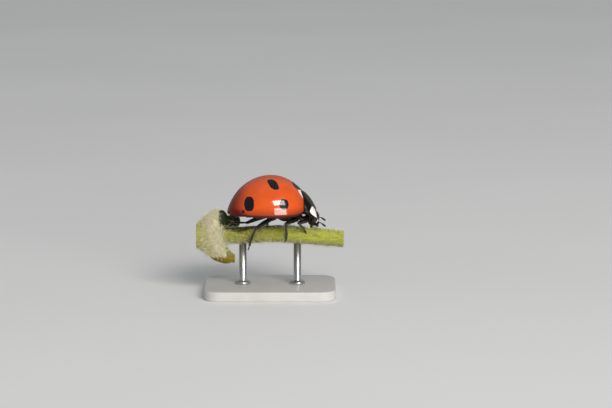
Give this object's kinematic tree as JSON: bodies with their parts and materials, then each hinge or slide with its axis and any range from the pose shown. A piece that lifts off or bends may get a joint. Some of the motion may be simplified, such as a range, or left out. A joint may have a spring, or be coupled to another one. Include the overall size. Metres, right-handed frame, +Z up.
{
  "type": "seven-spot ladybird on a stem, still life-size model",
  "caption": "Domed red beetle with black spots, clinging to a short cut length of hairy green stem on a small display stand.",
  "frame": {"origin": "middle of the stand's underside, which rests on the floor", "axes": "+X is the way the beetle faces along the stem, +Y is its left side, +Z is up; the beetle's back leans 4 degrees to its right"},
  "size_m": [0.012, 0.0074, 0.0097],
  "materials": {
    "wing_case_red": "glossy orange-red cuticle with black spots and two white marks at the front",
    "cuticle_black": "glossy black cuticle, with cream patches on the pronotum and head and under the shoulders",
    "eye_dark": "dark faceted compound eye",
    "stem_green": "yellow-green stem under short white hairs",
    "stand_paint": "satin light grey paint",
    "stand_steel": "brushed"
  },
  "bodies": {
    "root": {"perch_stem": "stem_green", "scutellum": "cuticle_black", "elytron_left": "wing_case_red", "elytron_right": "wing_case_red", "leg_front_right_coxa": "cuticle_black", "leg_front_right_femur": "cuticle_black", "leg_front_right_tibia": "cuticle_black", "leg_front_right_tarsus": "cuticle_black", "leg_middle_right_coxa": "cuticle_black", "leg_middle_right_femur": "cuticle_black", "leg_middle_right_tibia": "cuticle_black", "leg_middle_right_tarsus": "cuticle_black", "leg_hind_right_coxa": "cuticle_black", "leg_hind_right_femur": "cuticle_black", "leg_hind_right_tibia": "cuticle_black", "leg_hind_right_tarsus": "cuticle_black", "leg_front_left_coxa": "cuticle_black", "leg_front_left_femur": "cuticle_black", "leg_front_left_tibia": "cuticle_black", "leg_front_left_tarsus": "cuticle_black", "leg_middle_left_coxa": "cuticle_black", "leg_middle_left_femur": "cuticle_black", "leg_middle_left_tibia": "cuticle_black", "leg_middle_left_tarsus": "cuticle_black", "leg_hind_left_coxa": "cuticle_black", "leg_hind_left_femur": "cuticle_black", "leg_hind_left_tibia": "cuticle_black", "leg_hind_left_tarsus": "cuticle_black", "thorax": "cuticle_black", "abdomen": "cuticle_black", "pronotum": "cuticle_black", "prothorax": "cuticle_black", "eye_left": "eye_dark", "antenna_left": "cuticle_black", "palp_left": "cuticle_black", "eye_right": "eye_dark", "antenna_right": "cuticle_black", "palp_right": "cuticle_black", "head": "cuticle_black", "labrum": "cuticle_black", "stand_rod_front": "stand_steel", "stand_rod_rear": "stand_steel", "stand_base": "stand_paint"}
  },
  "joints": []
}
